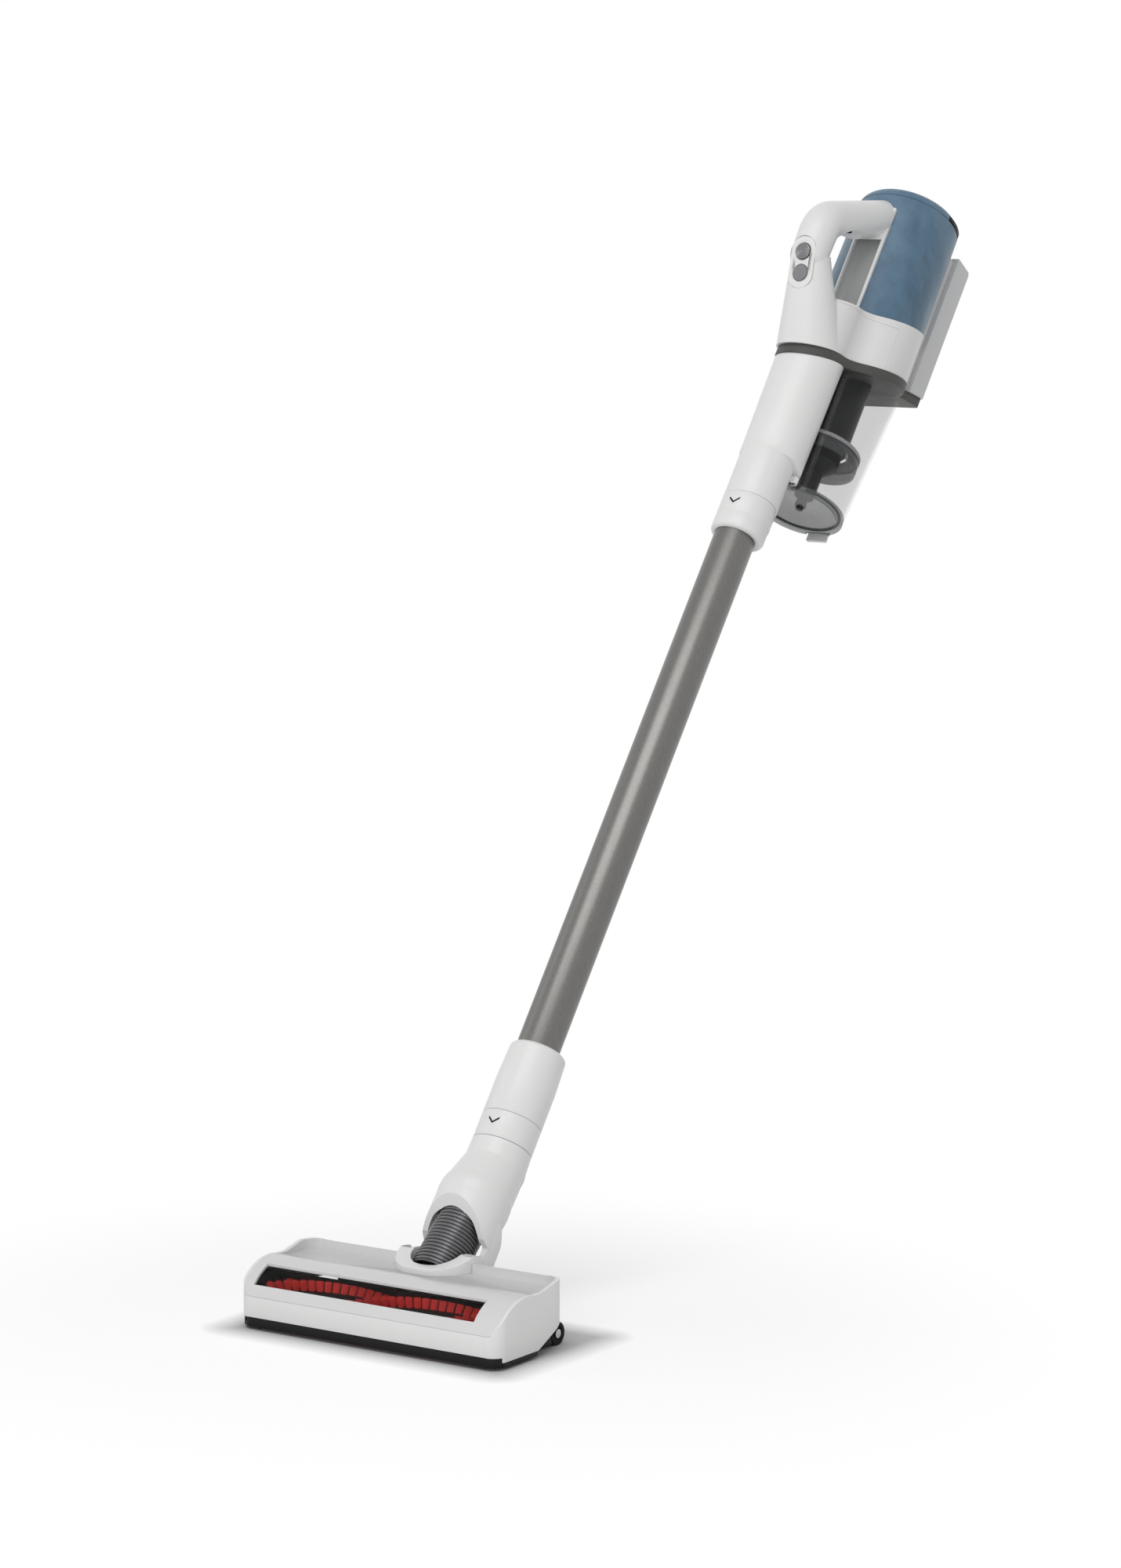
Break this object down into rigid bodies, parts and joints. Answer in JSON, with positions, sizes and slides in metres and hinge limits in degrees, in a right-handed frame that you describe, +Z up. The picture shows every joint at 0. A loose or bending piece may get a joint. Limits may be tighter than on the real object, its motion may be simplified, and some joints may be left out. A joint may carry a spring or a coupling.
{
  "type": "cordless stick vacuum cleaner",
  "caption": "Cordless stick vacuum cleaner: motorised floor head, tilting and swivelling neck, tube wand, and a handheld unit with grip, clear dust bin and slide-on battery.",
  "frame": {"origin": "on the sole of the floor head, under the middle of the head, at floor level within the sole's small clearance", "axes": "+Z up, -Y the way the floor head faces, +X the vacuum cleaner's own right-hand side seen from behind it; the wand leans back towards +Y"},
  "size_m": [0.245, 0.8458, 0.862],
  "materials": {
    "white_shell": "smooth satin white moulding",
    "light_shell": "smooth light grey moulding",
    "bezel_grey": "satin silver grey moulding",
    "tray_clear": "smoky translucent grey moulding",
    "window_black": "clear dark glossy window",
    "black_plastic": "matte black moulding",
    "dark_grey": "matte dark grey moulding",
    "mid_grey": "matte mid grey moulding",
    "liner_grey": "satin grey moulding",
    "blue_shell": "fine-textured muted blue moulding",
    "clear_bin": "clear moulded plastic",
    "clear_door": "clear moulded plastic",
    "red_bristle": "stiff red nylon bristles",
    "rubber_black": "black rubber",
    "hose_black": "ribbed flexible hose",
    "steel": "plain steel",
    "motor_metal": "grey metal can",
    "tube_alu": "satin aluminium tube",
    "chrome": "bright plated",
    "filter_paper": "pleated filter paper",
    "board_green": "printed circuit board",
    "cell_green": "sleeved battery cells",
    "mesh_grey": "light grey woven mesh"
  },
  "bodies": {
    "floor_head": {"head_front": "white_shell", "end_cap_left": "white_shell", "end_cap_right": "white_shell", "bezel": "bezel_grey", "brush_window": "window_black", "top_tray": "tray_clear", "head_rear": "white_shell", "head_base": "black_plastic", "front_strip": "black_plastic", "hose_collar": "white_shell", "brush_bearings": "steel", "brush_motor": "motor_metal", "axles": "steel", "pivot_pins": "steel", "drive_belt": "rubber_black"},
    "brush": {"brush_core": "dark_grey", "brush_tufts": "red_bristle", "brush_pulley": "black_plastic"},
    "motor_pulley": {"motor_pulley": "mid_grey"},
    "wheel_left": {"wheel_left": "rubber_black"},
    "wheel_right": {"wheel_right": "rubber_black"},
    "roller_left": {"roller_left": "dark_grey"},
    "roller_right": {"roller_right": "dark_grey"},
    "neck": {"neck_hood": "white_shell", "neck_shell": "light_shell", "hose": "hose_black"},
    "wand": {"lower_sleeve": "white_shell", "lower_collar": "white_shell", "wand_tube": "tube_alu", "end_ring": "white_shell", "marked_ring": "white_shell", "inlet_duct": "white_shell", "foot_rim": "dark_grey", "handle_shell": "white_shell", "spine_strip": "liner_grey", "housing_skirt": "white_shell", "button_plate": "light_shell", "motor_housing": "blue_shell", "suction_motor": "motor_metal", "exhaust_filter": "filter_paper", "circuit_board": "board_green", "shroud": "black_plastic", "mesh_band": "mesh_grey", "cyclone_cone": "black_plastic"},
    "lower_button": {"lower_button": "mid_grey"},
    "upper_button": {"upper_button": "mid_grey"},
    "power_button": {"power_button": "chrome"},
    "mode_button": {"mode_button": "mid_grey"},
    "motor_rotor": {"motor_rotor": "motor_metal"},
    "lid": {"housing_lid": "blue_shell"},
    "lid_clip": {"lid_clip": "black_plastic"},
    "battery": {"battery_case": "light_shell", "battery_cells": "cell_green"},
    "battery_button": {"battery_button": "mid_grey"},
    "bin": {"dust_bin": "clear_bin", "door_pin": "steel"},
    "bin_door": {"bin_door": "clear_door", "door_boss": "black_plastic", "door_seal": "rubber_black"},
    "door_latch": {"door_latch": "mid_grey"}
  },
  "joints": [
    {"name": "brush_spin", "type": "hinge", "parent": "floor_head", "child": "brush", "pos_m": [0, -0.027, 0.0203], "axis": [1, 0, 0], "continuous": true},
    {"name": "motor_pulley_spin", "type": "hinge", "parent": "floor_head", "child": "motor_pulley", "pos_m": [0.103, 0.012, 0.027], "axis": [1, 0, 0], "continuous": true},
    {"name": "wheel_left_spin", "type": "hinge", "parent": "floor_head", "child": "wheel_left", "pos_m": [-0.108, 0.0428, 0.009], "axis": [1, 0, 0], "continuous": true},
    {"name": "wheel_right_spin", "type": "hinge", "parent": "floor_head", "child": "wheel_right", "pos_m": [0.108, 0.0428, 0.009], "axis": [1, 0, 0], "continuous": true},
    {"name": "roller_left_spin", "type": "hinge", "parent": "floor_head", "child": "roller_left", "pos_m": [-0.1105, -0.046, 0.004], "axis": [1, 0, 0], "continuous": true},
    {"name": "roller_right_spin", "type": "hinge", "parent": "floor_head", "child": "roller_right", "pos_m": [0.1015, -0.046, 0.004], "axis": [1, 0, 0], "continuous": true},
    {"name": "neck_tilt", "type": "hinge", "parent": "floor_head", "child": "neck", "pos_m": [0, 0.0546, 0.0297], "axis": [-1, 0, 0], "range_deg": [-35, 42], "deforming": ["hose"]},
    {"name": "wand_swivel", "type": "hinge", "parent": "neck", "child": "wand", "pos_m": [0, 0.12611, 0.12557], "axis": [0, 0.5979, 0.8016], "range_deg": [-90, 90]},
    {"name": "lower_button_press", "type": "slide", "parent": "wand", "child": "lower_button", "axis": [0, -0.8016, 0.5979], "range_m": [0, 0.002], "stiffness_N_per_m": 700, "springref_m": -0.001},
    {"name": "upper_button_press", "type": "slide", "parent": "wand", "child": "upper_button", "axis": [0, -0.8016, 0.5979], "range_m": [0, 0.002], "stiffness_N_per_m": 700, "springref_m": -0.001},
    {"name": "power_button_press", "type": "slide", "parent": "wand", "child": "power_button", "axis": [0, 0.9663, -0.2575], "range_m": [0, 0.0009], "stiffness_N_per_m": 700, "springref_m": -0.001},
    {"name": "mode_button_press", "type": "slide", "parent": "wand", "child": "mode_button", "axis": [0, 0.9663, -0.2575], "range_m": [0, 0.0009], "stiffness_N_per_m": 700, "springref_m": -0.001},
    {"name": "motor_rotor_spin", "type": "hinge", "parent": "wand", "child": "motor_rotor", "pos_m": [0, 0.6851, 0.75705], "axis": [0, 0.5979, 0.8016], "continuous": true},
    {"name": "lid_hinge", "type": "hinge", "parent": "wand", "child": "lid", "pos_m": [-0.0454, 0.74023, 0.83096], "axis": [0, -0.8016, 0.5979], "range_deg": [0, 60]},
    {"name": "lid_clip_press", "type": "slide", "parent": "lid", "child": "lid_clip", "axis": [-1, 0, 0], "range_m": [0, 0.001], "stiffness_N_per_m": 500, "springref_m": -0.001},
    {"name": "battery_slide", "type": "slide", "parent": "wand", "child": "battery", "axis": [0, 0.5979, 0.8016], "range_m": [0, 0.1]},
    {"name": "battery_button_press", "type": "slide", "parent": "battery", "child": "battery_button", "axis": [0, -0.8016, 0.5979], "range_m": [0, 0.0015], "stiffness_N_per_m": 700, "springref_m": -0.001},
    {"name": "bin_slide", "type": "slide", "parent": "wand", "child": "bin", "axis": [0, -0.5183, -0.8552], "range_m": [0, 0.1]},
    {"name": "bin_door_hinge", "type": "hinge", "parent": "bin", "child": "bin_door", "pos_m": [0, 0.53234, 0.61899], "axis": [-1, 0, 0], "range_deg": [0, 85]},
    {"name": "door_latch_press", "type": "slide", "parent": "bin_door", "child": "door_latch", "axis": [0, -0.8016, 0.5979], "range_m": [0, 0.002], "stiffness_N_per_m": 700, "springref_m": -0.001}
  ],
  "couplings": [
    {"joint": "motor_pulley_spin", "follows": "brush_spin", "ratio": 2}
  ]
}
